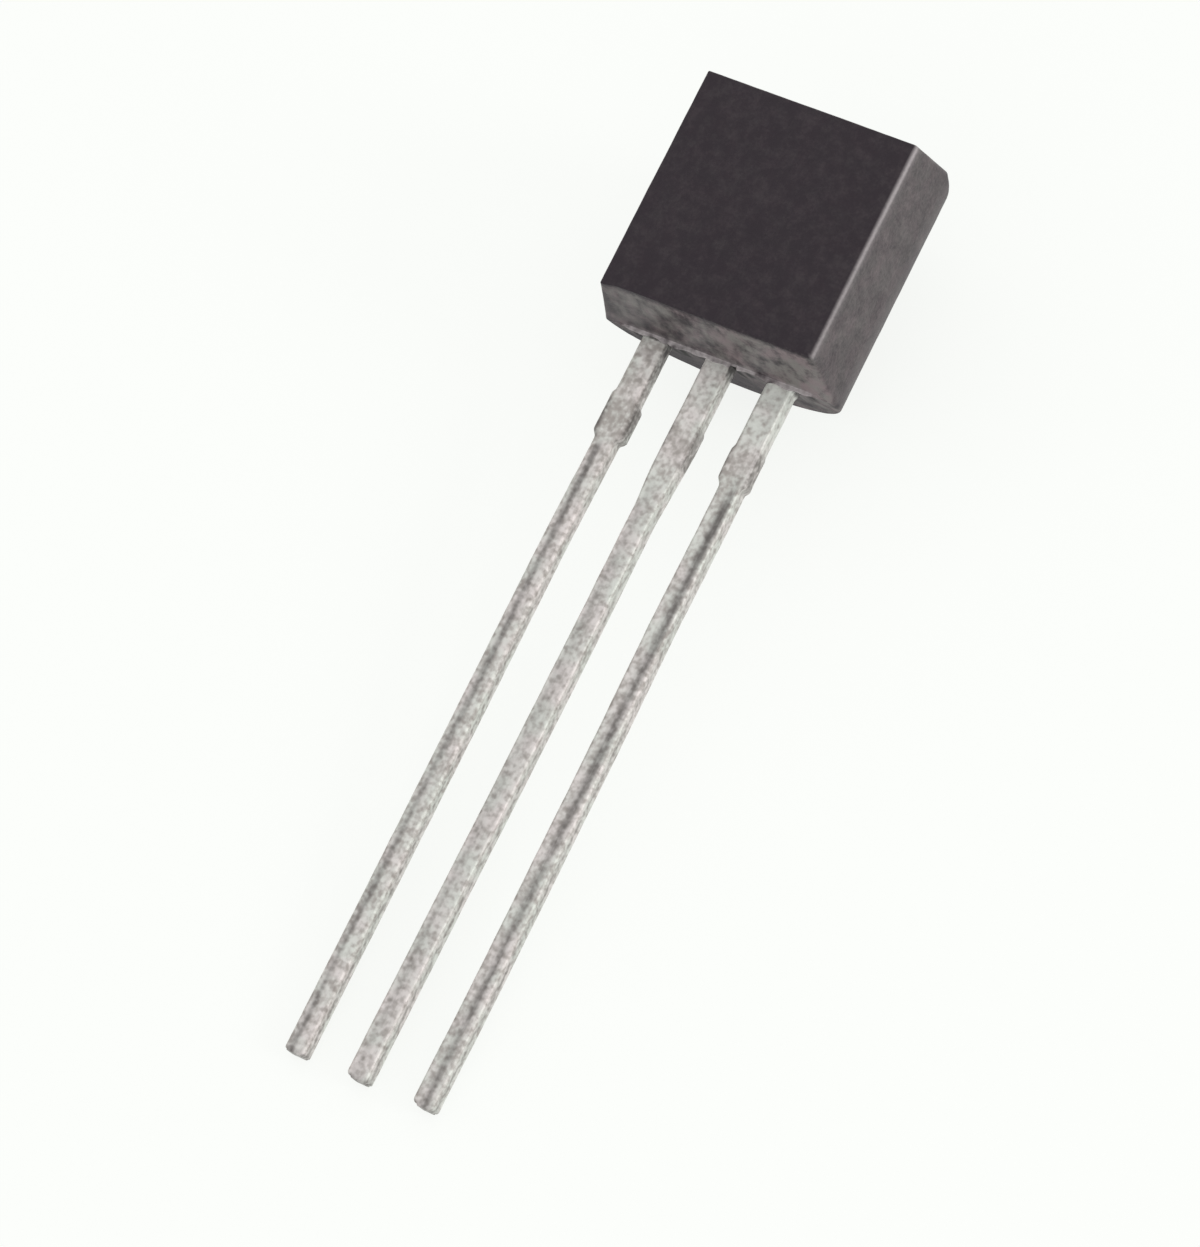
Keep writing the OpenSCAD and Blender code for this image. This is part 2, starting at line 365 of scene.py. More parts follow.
def grid_object(name, points, masks):
    """Makes an object from a grid of closed loops, rows by columns by 3, in the part's frame.

    Each quad joins two neighbours of one loop to the same two of the next. Coinciding points are merged,
    which shuts the poles. masks holds a number per point for each name, stored as attributes.
    """
    rows, columns = points.shape[:2]
    index = np.arange(rows * columns).reshape(rows, columns)
    right = np.roll(index, -1, axis=1)
    quads = np.stack([index[:-1], right[:-1], right[1:], index[1:]], axis=-1).reshape(-1, 4)
    mesh = bpy.data.meshes.new(name)
    mesh.from_pydata(points.reshape(-1, 3), [], quads.tolist())
    for key, values in masks.items():
        layer = mesh.attributes.new(key, "FLOAT", "POINT")
        layer.data.foreach_set("value", np.broadcast_to(values, (rows, columns)).astype(np.float32).ravel())
    work = bmesh.new()
    work.from_mesh(mesh)
    bmesh.ops.remove_doubles(work, verts=work.verts, dist=0.00001 * MM)
    bmesh.ops.recalc_face_normals(work, faces=work.faces)
    for face in work.faces:
        face.smooth = True
    work.to_mesh(mesh)
    work.free()
    item = bpy.data.objects.new(name, mesh)
    bpy.context.scene.collection.objects.link(item)
    return item


# How far the edge round the flat turns before the drafted side takes over.
EDGE_TURN = math.radians(82.0)

# The ledge at the parting plane, from the front half out to the rear half. For each row: its depth in
# millimetres, and how much it stands out by the parting step and by the flash.
LEDGE_ROWS = (
    (-0.02, 0.0, 0.0),
    (-0.012, 0.12, 0.0),
    (-0.01, 0.35, 0.1),
    (-0.008, 0.6, 0.35),
    (-0.005, 0.8, 0.7),
    (0.0, 1.0, 1.0),
    (0.005, 1.0, 0.9),
    (0.012, 0.6, 0.2),
)


class BodyColumns:
    """The columns that all rows of the moulding share, and the sizes that change from one to the next.

    px, pz, cx and cz place a column on its row's rounded outline, as in loop_columns. right, left, top
    and under say how much it belongs to each side: 1 on a side, less on the corners next to it.
    """

    def __init__(self, body, lead):
        self.radius, self.half_height, self.depth = body.width / 2, body.height / 2, body.front_depth

        # Closer together beside the leads.
        lead_sides = (np.arange(3) - 1)[:, None] * lead.pitch + np.array([-0.5, 0.5]) * lead.shoulder
        close = lead_sides[..., None] + np.arange(-0.06, 0.16, 0.018) * MM
        close = close.ravel() / (self.radius - body.corner)
        end = np.unique(np.round(np.concatenate([np.linspace(-1.0, 1.0, 80), close]), 5))
        px, pz, cx, cz = loop_columns(np.linspace(-1.0, 1.0, 60), end, 5)
        self.px, self.pz, self.cx, self.cz = px, pz, cx, cz
        self.right, self.left, self.top, self.under = (np.clip(side, 0.0, 1.0) for side in (cx, -cx, cz, -cz))
        self.x_along = px * self.radius

        # The flat's half sizes, and the radius of the edge round it: the left and top edges are sharper
        # than the right one, and the lower one is more rounded towards the right.
        self.flat_half_w = body.flat_width / 2 + body.flat_reach * self.right
        self.flat_half_h = body.flat_height / 2
        upper = self.right**2 + 0.3 * self.left**2 + 0.3 * self.top**2
        self.edge = body.flat_edge * (upper + (0.5 + 0.35 * px) * self.under**2)

        # At the parting plane: the corners' radius, the ledge, which is on the underside only and fades
        # out towards its corners, and the half height of the front half, less the parting step.
        self.corner_end = np.where(pz > 0, body.top_corner, body.foot_corner)
        self.ledge = self.under * smooth_step((self.radius - np.abs(self.x_along)) / (0.5 * MM))
        self.front_half_h = self.half_height - body.parting_step * self.ledge

    def loops(self, half_w, half_h, corner, y):
        """Rounded rectangles of the half sizes and corner radii given, at the depths given."""
        x = self.px * (half_w - corner) + self.cx * corner
        z = self.pz * (half_h - corner) + self.cz * corner
        return np.stack([x, y + 0 * x, z], axis=-1)


def front_rows(body, columns):
    """Points and normals of the front half's sides, from the flat to the parting plane.

    The edge round the flat is an arc tangent to it, and the sides grow in a straight line from the arc.
    The standing corners are nearly sharp at the flat and grow wider towards the parting plane.
    """
    edge, depth = columns.edge, columns.depth
    turn = np.linspace(0.0, EDGE_TURN, 10)[:, None]
    arc_depth = edge * (1 - np.cos(turn)) - depth
    side_depth = np.linspace(arc_depth[-1], -0.03 * MM, 30)[1:]
    y = np.concatenate([arc_depth, side_depth])

    def half_size(flat_half, outer_half):
        """Half size at each row, on the arc and then on the drafted side."""
        draft = np.arctan((outer_half - flat_half) / depth)
        arc = flat_half - edge * (1 - np.sin(draft)) / np.cos(draft) + edge * np.sin(turn)
        side = flat_half + (side_depth + depth) * np.tan(draft)
        return np.concatenate([arc, side])

    half_w = half_size(columns.flat_half_w, columns.radius)
    half_h = half_size(columns.flat_half_h, columns.front_half_h)
    corner = body.corner * np.clip(0.25 + (y + depth) / edge, 0.25, 1.0)
    corner = corner + (columns.corner_end - body.corner) * (y + depth) / depth
    points = columns.loops(half_w, half_h, corner, y)

    # The flat's top edge falls to the right and its lower left corner hangs lower, less so further back.
    fall = math.tan(body.top_tilt) * points[..., 0] * np.clip(columns.pz, 0.0, 1.0) * (-y / depth)
    drop = body.corner_drop * bell(columns.px + 1.0, 0.09) * np.clip(-columns.pz, 0.0, 1.0) * (y / depth) ** 2
    points[..., 2] -= fall + drop

    turned = np.concatenate([turn + 0 * edge, np.full_like(side_depth, EDGE_TURN)])
    normals = np.stack([columns.cx * np.sin(turned), -np.cos(turned), columns.cz * np.sin(turned)], axis=-1)
    return points, normals


def flat_rows(rim):
    """Points and normals of the flat: its rim scaled up from the middle, the last row close to the rim."""
    scale = np.append(np.linspace(0.0, 1.0, 30)[:-1], 0.993)[:, None, None]
    points = rim * scale
    points[..., 1] = rim[..., 1]
    return points, np.zeros_like(points) + np.array([0.0, -1.0, 0.0])


def flash_height(body, x):
    """Height of the flash at a place along the lead row: waves that never go down to nothing."""
    wave = ripple(np.stack([x, 0 * x, 0 * x], axis=-1), 0.55 * MM, SEEDS["flash"])
    return body.flash * np.clip(0.5 + 0.45 * wave, 0.08, 1.3)


def ledge_rows(body, columns):
    """Points of the ledge: the sides carried on, and the underside let out by LEDGE_ROWS."""
    y, on_step, on_flash = np.array(LEDGE_ROWS).T[..., None]
    y = y * MM
    out = on_step * body.parting_step * columns.ledge
    out = out + on_flash * (flash_height(body, columns.x_along) * columns.ledge)
    grown = 1 + np.minimum(y, 0) / columns.depth
    half_w = columns.flat_half_w + (columns.radius - columns.flat_half_w) * grown
    half_h = columns.flat_half_h + (columns.front_half_h - columns.flat_half_h) * grown
    return columns.loops(half_w, half_h + out, columns.corner_end, y)


def back_rows(body, columns):
    """Points and normals of the rear half, from the parting plane to the line of the back.

    Its wall is the half width times the cosine of a turn and the rear depth times its sine, and its ends
    lie on drafted planes. Both are drawn in by the rim's radius and let out again along the normals,
    which rounds the rim between them. The rim is wider next to the parting plane.
    """
    radius = columns.radius
    near = np.arange(0.025, 0.62, 0.02) * MM
    far = np.linspace(0.64 * MM / radius, math.pi / 2, 56)
    spin = np.concatenate([np.arcsin(near / radius), far])[:, None]
    sin_d, cos_d = math.sin(body.rear_draft), math.cos(body.rear_draft)
    rim = body.rear_rim + (columns.corner_end - body.rear_rim) * bell(spin, 0.3)
    y = (body.rear_depth - rim) * np.sin(spin)
    z = columns.half_height - (y * sin_d + rim) / cos_d
    centre = np.stack([columns.px * (radius - rim) * np.cos(spin), y, columns.pz * z], axis=-1)

    wall, ends = np.abs(columns.cx), np.abs(columns.cz)
    backward = wall * np.sin(spin) + ends * sin_d
    normals = np.stack([columns.cx * np.cos(spin), backward, columns.cz * cos_d + 0 * spin], axis=-1)
    normals /= np.linalg.norm(normals, axis=-1, keepdims=True)
    return centre + rim[..., None] * normals, normals


def lead_gaps(points, body, lead, columns):
    """How deep each point lies in a void to the right of a lead, and how strong the painted shade of the gap
    round a lead is there.
    """
    x, y = points[..., 0], points[..., 1]
    void = np.zeros(x.shape)
    gap = np.zeros(x.shape)
    for place, width in zip((-1, 0, 1), body.void_widths):
        start = place * lead.pitch + lead.shoulder / 2
        across = np.minimum(x - start, start + width - x) / (0.3 * width)
        into = (body.void_depth - y) / (0.3 * body.void_depth)
        begun = smooth_step((y + 0.15 * width) / (0.03 * MM))
        void = np.maximum(void, smooth_step(across + 0.7) * smooth_step(into + 0.5) * begun)
        beside = np.abs(x - place * lead.pitch) - lead.shoulder / 2
        # Painted shade in the gap round a lead.
        gap = np.maximum(gap, bell(np.maximum(beside, 0.0), 0.03 * MM) * (y < lead.thickness))
    return void * columns.under, gap * columns.under


def ledge_highlight_and_shadow(points, beads, body, ledge, on_ledge, is_back):
    """A painted highlight on the lit ledge and flash, a little on both sides of it, and a broken dark line
    behind the flash, a painted shadow.

    Behind the flash both reach back in proportion to its height there.
    """
    y = points[..., 1]
    ahead = smooth_step((y + 0.16 * MM) / (0.14 * MM))
    behind = 1.0 - smooth_step((y - 12.0 * flash_height(body, points[..., 0])) / (0.5 * MM))
    # The lit ledge and flash: a painted highlight, spreading a little ahead and behind.
    lit_ledge = np.where(on_ledge, 1.1, np.where(is_back, 0.25 * behind, 0.4 * ahead))
    dashes = ripple(points * np.array([1.0, 0.1, 0.1]), 0.25 * MM, SEEDS["dashes"])
    # Behind the flash: a broken dark line, a painted shadow.
    flash_shadow = is_back * behind * np.clip(0.5 - 0.45 * dashes, 0.05, 0.9)
    return lit_ledge * ledge * np.clip(0.75 + 0.4 * beads, 0.0, 1.0), flash_shadow * ledge


def body_surface(body, lead):
    """The whole moulding as one closed grid with its masks: the flat, the front half, the ledge, the back.

    All faces are lifted along their normals by a slow ripple, and the voids are pressed into the underside.
    """
    columns = BodyColumns(body, lead)
    under, depth = columns.under, columns.depth
    front, front_n = front_rows(body, columns)
    flat, flat_n = flat_rows(front[:1])
    ledge = ledge_rows(body, columns)
    back, back_n = back_rows(body, columns)
    points = np.concatenate([flat, front, ledge, back])
    normals = np.concatenate([flat_n, front_n, np.broadcast_to(front_n[-1], ledge.shape), back_n])
    swell = ripple(points, 1.3 * MM, SEEDS["swell"]) + 0.6 * ripple(points, 0.4 * MM, SEEDS["dimples"])
    points = points + normals * (body.ripple * swell)[..., None]

    beads = ripple(points, 0.22 * MM, SEEDS["beads"])
    void, gap = lead_gaps(points, body, lead, columns)
    points[..., 2] += void * body.void_depth

    # Rows counted from the flat's rim, and from the ledge's end.
    past_rim = np.arange(len(points))[:, None] - len(flat)
    past_ledge = past_rim - len(front) - len(ledge)
    is_back = past_ledge >= 0
    on_ledge = (past_ledge > -len(ledge)) & (past_ledge < -1)
    lit_ledge, flash_shadow = ledge_highlight_and_shadow(points, beads, body, columns.ledge, on_ledge, is_back)
    # Rows of the rounded edge round the flat, where the painted highlight lies.
    rim_highlight = bell(past_rim - 5.0, 3.6) * (past_rim >= 0)
    y = points[..., 1]
    masks = {
        "flat": smooth_step((4.0 - past_rim) / 4.0),
        # edge: a painted highlight along the flat's right edge, a little brighter towards the top.
        "edge": rim_highlight * columns.right * (0.82 + 0.18 * columns.pz),
        # seam: the painted highlight on the ledge and flash.
        "seam": lit_ledge,
        "under": under * smooth_step((past_rim - 6.0) / 3.0),
        "lean": under * (columns.px - 0.5 - y / depth),
        "fade": 1.0 - under * (1.0 - smooth_step((y + depth) / (0.3 * MM))),
        # rear: painted shade on the rear half, strongest on its underside.
        "rear": is_back * (0.3 + 0.7 * under),
        # Painted shade in the voids, in the gaps round the leads and behind the flash.
        "gap": np.maximum(np.maximum(void, gap * is_back), flash_shadow),
    }
    points[..., 2] += body.rise
    return points, masks


# A lead's widened inner end in package axes.
InnerHead = namedtuple("InnerHead", "left right bottom top")


def inner_head(node, body):
    """Measures a lead's inner end on the CAD node's points inside the body."""
    item = frame["nodes"][node]
    points = np.empty(len(item.data.vertices) * 3)
    item.data.vertices.foreach_get("co", points)
    points = points.reshape(-1, 3) - package_zero(body)
    x, z = points @ PACKAGE_X, points @ PACKAGE_Z
    inside = z > exit_height(body) + 0.1 * MM
    x, z = x[inside], z[inside]
    sliver = 0.01 * MM
    at_sides = (x < x.min() + sliver) | (x > x.max() - sliver)
    return InnerHead(x.min(), x.max(), z[at_sides].min(), z.max())


def lead_stations(lead, body, look, head):
    """Heights along a lead from the tip to the inner end, with its left and then its right edge at each."""
    exit_z = exit_height(body)
    tip_z = exit_z - lead.free_length + look.tip.short * MM
    centre = look.place * lead.pitch
    run, shoulder = lead.width / 2, lead.shoulder / 2
    slant, tiny = 0.03 * MM, 0.002 * MM
    sides = []
    for sign, stub, head_edge in ((-1, look.stub_left, head.left), (1, look.stub_right, head.right)):
        out, start, stop, slope = (value * MM for value in stub)
        half_widths = [
            (tip_z, run),
            (exit_z - stop - slope, run),
            (exit_z - stop, shoulder + out),
            (exit_z - start - slant, shoulder + out),
            (exit_z - start + slant, shoulder),
            (exit_z, shoulder),
            (head.bottom - tiny, shoulder),
        ]
        side = [(z, centre + sign * half) for z, half in half_widths]
        sides.append(side + [(head.bottom + tiny, head_edge), (head.top, head_edge)])
    return np.array(sides)


def lead_rows(lead, body, look, head):
    """Heights of a lead's rows between its closed ends, and its left and right edge at each.

    The edges come from straight pieces between stations, and a short running mean rounds the steps
    outside the body. The lead strays sideways along straight pieces rounded in the same way. The tip's
    corners are quarter circles.
    """
    exit_z = exit_height(body)
    (left_z, left_x), (right_z, right_x) = (side.T for side in lead_stations(lead, body, look, head))
    tip_z, end_edge = left_z[0], lead.end_edge
    near_tip = np.arange(tip_z + end_edge, tip_z + 0.16 * MM, 0.012 * MM)
    outside = np.concatenate([near_tip, np.arange(tip_z + 0.17 * MM, exit_z, lead.row_step)])
    inner = np.linspace(exit_z, head.top - end_edge, 34)
    step = np.array([head.bottom - 0.004 * MM, head.bottom + 0.004 * MM])
    z = np.sort(np.concatenate([outside, inner, step]))

    blurred = (z > tip_z + 0.1 * MM) & (z < exit_z)
    around = z[:, None] + blurred[:, None] * np.linspace(-1.0, 1.0, 7) * 0.025 * MM
    left = np.interp(around, left_z, left_x).mean(axis=1)
    right = np.interp(around, right_z, right_x).mean(axis=1)

    turns, offsets = np.array(look.stray).T
    around = (exit_z - z)[:, None] / MM + np.linspace(-1.0, 1.0, 9) * 0.2
    stray = np.interp(around, turns, offsets).mean(axis=1) * MM * smooth_step((exit_z - z) / (0.1 * MM))
    left, right = left + stray, right + stray

    for edge_x, corner, inward in ((left, look.tip.left * MM, 1), (right, look.tip.right * MM, -1)):
        down = np.clip((tip_z + end_edge + corner - z) / corner, 0.0, 1.0)
        edge_x += inward * corner * (1.0 - np.sqrt(1.0 - down**2))
    return z, left, right


def with_closed_ends(z, left, right, end_edge):
    """Adds both ends to a lead's rows: an edge rounded by a quarter circle, then rows shrunk to a point.

    The last two results say how far each row's outline is drawn in, and its scale.
    """
    turns, shrinks = 5, 5
    bevel = np.linspace(0.0, math.pi / 2, turns)[1:]
    rise, draw_in = end_edge * (1 - np.sin(bevel)), end_edge * (1 - np.cos(bevel))
    end_rise = np.concatenate([rise, np.zeros(shrinks)])
    end_inset = np.concatenate([draw_in, np.full(shrinks, end_edge)])
    end_scale = np.concatenate([np.ones(turns - 1), np.linspace(1.0, 0.0, shrinks + 1)[1:]])
    tip_z, top = z[0] - end_edge, z[-1] + end_edge
    z = np.concatenate([tip_z + end_rise[::-1], z, top - end_rise])
    inset = np.concatenate([end_inset[::-1], np.zeros(len(left)), end_inset])
    scale = np.concatenate([end_scale[::-1], np.ones(len(left)), end_scale])
    left, right = (np.pad(edge_x, len(end_rise), mode="edge") for edge_x in (left, right))
    return z, left, right, inset, scale


# Where the points of a lead's grid lie, for its masks. below, above and across are distances below the
# body, above the tip, and to the right from the lead's middle, in millimetres.
# side_share is across in half widths of the lead there, and run_share the distance from the lead's true
# place in half widths of the run. depth_share runs from 0 at the front to 1 at the back. front, right and
# side say how much a point faces the front, the right, and either side. wander and jitter are slow and
# quick unevenness along the lead, and patchy is a fine one all over it.
LeadSpots = namedtuple(
    "LeadSpots", "below above across side_share run_share depth_share front right side wander jitter patchy"
)


def painted_dark_reflection(mark, spots):
    """The painted dark reflection along the front: bells to the left and right of its place, fading towards
    the tip.
    """
    away = spots.run_share - mark.place - 0.035 * spots.wander - 0.015 * spots.jitter
    line = np.where(away < 0, bell(away, mark.left), bell(away, mark.right))
    past_stubs = np.clip(spots.below - 2.0, 0.0, 20.0)
    strength = mark.far + (mark.near - mark.far) * np.exp(-past_stubs / 4.0)
    started = smooth_step((spots.below - mark.start) / mark.rise)
    faded = np.clip(1.0 + 0.08 * spots.wander + 0.05 * spots.jitter, 0.0, 1.3)
    return line * strength * spots.front * started * faded


def painted_shade_near_body(bleed, spots):
    """Painted shade next to the body, drawn as a dark film: on the front, down the right side, and a painted
    shadow in the corner there.
    """
    below, side = spots.below, bleed.side
    on_front = smooth_step((bleed.front - below) / 0.025 + 0.5) * spots.front
    ending = smooth_step((side * 1.15 - below) / (0.3 * side)) * (1.0 - 0.5 * np.clip(below / side, 0.0, 1.0))
    on_side = bleed.cover * ending * smooth_step((spots.right - 0.55) / 0.3)
    near_body = smooth_step((0.32 - below) / 0.12) * bell(spots.depth_share - 0.42, 0.3)
    in_socket = bleed.socket * near_body * (spots.right > 0.9)
    return np.maximum(np.maximum(on_front, on_side), in_socket) * (below > -0.3)


def lead_masks(look, spots):
    """Masks of a lead, from 0 to about 1. dull is how much duller, or under zero how much cleaner, it is; the
    glint pushes it under zero along a line, a painted highlight.
    """
    below, patchy = spots.below, spots.patchy
    stub_top, stub_end = look.stub_right.start - 0.1, 2.0
    past_top = smooth_step((below - stub_top + patchy) / 0.2)
    before_end = smooth_step((stub_end - below + patchy) / 0.25)
    dull = look.dull.stubs * past_top * before_end
    dull = dull + look.dull.shoulder * (1.0 - past_top) + look.dull.run * (1.0 - before_end)

    glint = look.glint
    # The glint: a painted highlight line, drawn as cleaner tin.
    glow = bell(spots.across - glint.place - 0.012 * spots.jitter, 0.035) * spots.front * glint.strength
    glow = glow * smooth_step((below - glint.start) / 0.15) * smooth_step((glint.stop - below) / 0.15)

    at_stubs = smooth_step((below - stub_top - 0.05) / 0.12) * smooth_step((stub_end + 0.1 - below) / 0.12)
    outline = look.rims.right * bell(spots.side_share - 0.97, 0.13)
    outline = outline + look.rims.left * bell(spots.side_share + 0.9, 0.24)

    sheared = bell(spots.depth_share - 0.46 - 0.05 * spots.jitter, 0.12) * spots.side * (spots.side > 0.8)
    return {
        "mark": painted_dark_reflection(look.mark, spots),
        "body_shade": painted_shade_near_body(look.bleed, spots),
        "dull": dull - glow,
        "rim": at_stubs * outline,
        "shear": sheared * (0.45 + 0.55 * np.clip(below / 12.0, 0.0, 1.0)),
        "cut": bell(spots.above, 0.08),
    }


def lead_surface(lead, body, look, head):
    """One lead as a closed grid with its masks: rounded rectangles stacked along its length.

    The broad faces are hollowed by a shallow parabola, and fine dents and drawn lines lift the surface
    along its normals.
    """
    exit_z = exit_height(body)
    z, left, right = lead_rows(lead, body, look, head)
    z, left, right, inset, scale = with_closed_ends(z, left, right, lead.end_edge)
    z, left, right, inset, scale = (values[:, None] for values in (z, left, right, inset, scale))

    px, py, cx, cy = loop_columns(np.linspace(-1, 1, 11), np.linspace(-1, 1, 21), 5)
    half_t, half_w = lead.thickness / 2, (right - left) / 2
    corner = np.maximum(look.edge * MM - inset, 0.01 * MM)
    across = scale * (px * (half_w - inset - corner) + cx * corner)
    deep = scale * (py * (half_t - inset - corner) + cy * corner)
    broad = np.abs(py) * (1 - px**2) * (np.abs(cy) > 0.99)
    exposed = smooth_step((exit_z - z) / (0.3 * MM))
    deep = deep - np.sign(py) * broad * lead.dish * scale * exposed
    height = z + 0 * across
    points = np.stack([(left + right) / 2 + across, half_t + deep, height], axis=-1)

    seed = SEEDS["leads"] + look.place * 5
    dents = ripple(points * np.array([1.0, 1.0, 0.5]), 0.3 * MM, seed)
    lines = ripple(points * np.array([1.0, 1.0, 0.08]), 0.2 * MM, seed + 1)
    lift = (0.0018 * dents + 0.0012 * lines) * MM * exposed * scale
    normals = np.broadcast_to(np.stack([cx, cy, 0 * cx], axis=-1), points.shape)
    points = points + normals * lift[..., None]

    upright = np.concatenate([0 * z, 0 * z, z], axis=-1)
    spots = LeadSpots(
        below=(exit_z - height) / MM,
        above=(height - z[0]) / MM,
        across=across / MM,
        side_share=across / np.maximum(half_w, 1e-9),
        run_share=(points[..., 0] - look.place * lead.pitch) / (lead.width / 2),
        depth_share=(half_t + deep) / lead.thickness,
        front=np.clip(-cy, 0.0, 1.0),
        right=np.clip(cx, 0.0, 1.0),
        side=np.abs(cx),
        wander=ripple(upright, 2.6 * MM, seed + 2)[:, None],
        jitter=ripple(upright, 0.5 * MM, seed + 3)[:, None],
        patchy=0.07 * ripple(points, 0.4 * MM, seed + 4),
    )
    masks = lead_masks(look, spots)
    masks["edge"] = (np.abs(cx * cy) > 1e-9) * scale
    return points, masks


class Value:
    """A socket of a node tree that works like a number: each operation adds a Math node or two."""

    def __init__(self, nodes, socket):
        self.nodes = nodes
        self.socket = socket

    def math(self, operation, *others):
        """One Math node, on this value and the others."""
        return self.nodes.node("Math", {"operation": operation}, dict(enumerate((self, *others))))

    def __add__(self, other):
        return self.math("ADD", other)

    __radd__ = __add__

    def __mul__(self, other):
        return self.math("MULTIPLY", other)

    __rmul__ = __mul__

    def __sub__(self, other):
        return self.math("SUBTRACT", other)

    def __rsub__(self, other):
        return self.math("MULTIPLY", -1.0).math("ADD", other)

    def between(self, low, high):
        """Zero below low, one above high, and a smooth rise between."""
        sockets = {"Value": self, "From Min": low, "From Max": high}
        return self.nodes.node("MapRange", {"interpolation_type": "SMOOTHSTEP"}, sockets)


class Nodes:
    """A node tree under construction, with one method that adds any node."""

    def __init__(self, owner):
        owner.use_nodes = True
        self.tree = owner.node_tree
        self.tree.nodes.clear()

    def node(self, kind, settings=None, sockets=None, out=0):
        """Adds a node: its settings first, then the values or links of its sockets. out picks its output."""
        made = self.tree.nodes.new("ShaderNode" + kind)
        for key, value in (settings or {}).items():
            setattr(made, key, value)
        for key, value in (sockets or {}).items():
            if isinstance(value, Value):
                self.tree.links.new(value.socket, made.inputs[key])
            else:
                made.inputs[key].default_value = value
        return Value(self, made.outputs[out]) if made.outputs else None


class Finish(Nodes):
    """A material under construction."""

    def __init__(self, name):
        self.material = bpy.data.materials.new(name)
        super().__init__(self.material)

    def place(self):
        """Object coordinates in millimetres, turned so that Z runs along the leads."""
        turn = math.pi / 2 - math.atan2(PACKAGE_Z[2], PACKAGE_Z[1])
        found = self.node("TexCoord", out="Object")
        sockets = {"Vector": found, "Rotation": (turn, 0.0, 0.0), "Scale": (1 / MM,) * 3}
        return self.node("Mapping", {}, sockets)

    def masks(self, *names):
        """Masks stored on the piece."""
        return [self.node("Attribute", {"attribute_name": name}, out="Fac") for name in names]

    def stretched(self, vector, scale):
        """A vector times a scale per axis."""
        return self.node("VectorMath", {"operation": "MULTIPLY"}, {0: vector, 1: scale})

    def noise(self, vector, scale, detail, roughness):
        """Noise as a swing about zero, of at most a half."""
        sockets = {"Vector": vector, "Scale": scale, "Detail": detail, "Roughness": roughness}
        return self.node("TexNoise", {}, sockets) - 0.5

    def mix(self, factor, low, high, blend="MIX"):
        """A colour between two, by a factor, or with another blend."""
        low, high = (v if isinstance(v, Value) else (*v, 1.0) for v in (low, high))
        settings = {"data_type": "RGBA", "blend_type": blend}
        return self.node("Mix", settings, {0: factor, 6: low, 7: high}, out=2)

    def bump(self, height, distance, strength, below=None):
        """A surface normal from a height times a distance in metres, on top of the bump below it."""
        sockets = {"Height": height, "Distance": distance, "Strength": strength}
        if below:
            sockets["Normal"] = below
        return self.node("Bump", {}, sockets)

    def surface(self, **sockets):
        """The principled shader and the output."""
        named = {key.replace("_", " "): value for key, value in sockets.items()}
        self.node("OutputMaterial", {}, {"Surface": self.node("BsdfPrincipled", {}, named)})
        return self.material


def compound_with_painted_light(f, colours, swings, flat, under, fade, lean):
    """The compound's own tone, black, under a grey haze that is painted light: thin on the flat, it lightens
    the other faces for their reflection of the pale floor.

    The haze is even on the sides. On the underside it is blotchy, paler as more painted light, stronger where
    lean says so, and fades in from the flat.
    """
    grain, fine, blotch, cloud = swings
    even = 0.62 + grain * 1.0 + fine * 0.2 + blotch * 0.55 + cloud * 0.4
    blotchy = blotch * 1.9 + grain * 1.1 + fine * 0.3 + cloud * 1.3
    blotchy = 0.72 + blotchy * (1.0 + lean * 0.35) + lean * 0.3
    haze = f.node("Mix", {}, {0: under, 2: even, 3: blotchy}).between(0.0, 1.2) * (1.0 - flat * 0.97)
    haze = haze * (fade + grain * 0.8).between(-0.1, 0.65)
    haze = haze + flat * (grain * 0.5 + blotch * 0.5).between(-0.1, 0.25) * 0.15
    hazed = f.mix(under, colours.lit_side_haze, colours.lit_underside_haze)
    return f.mix(haze, colours.compound, hazed)


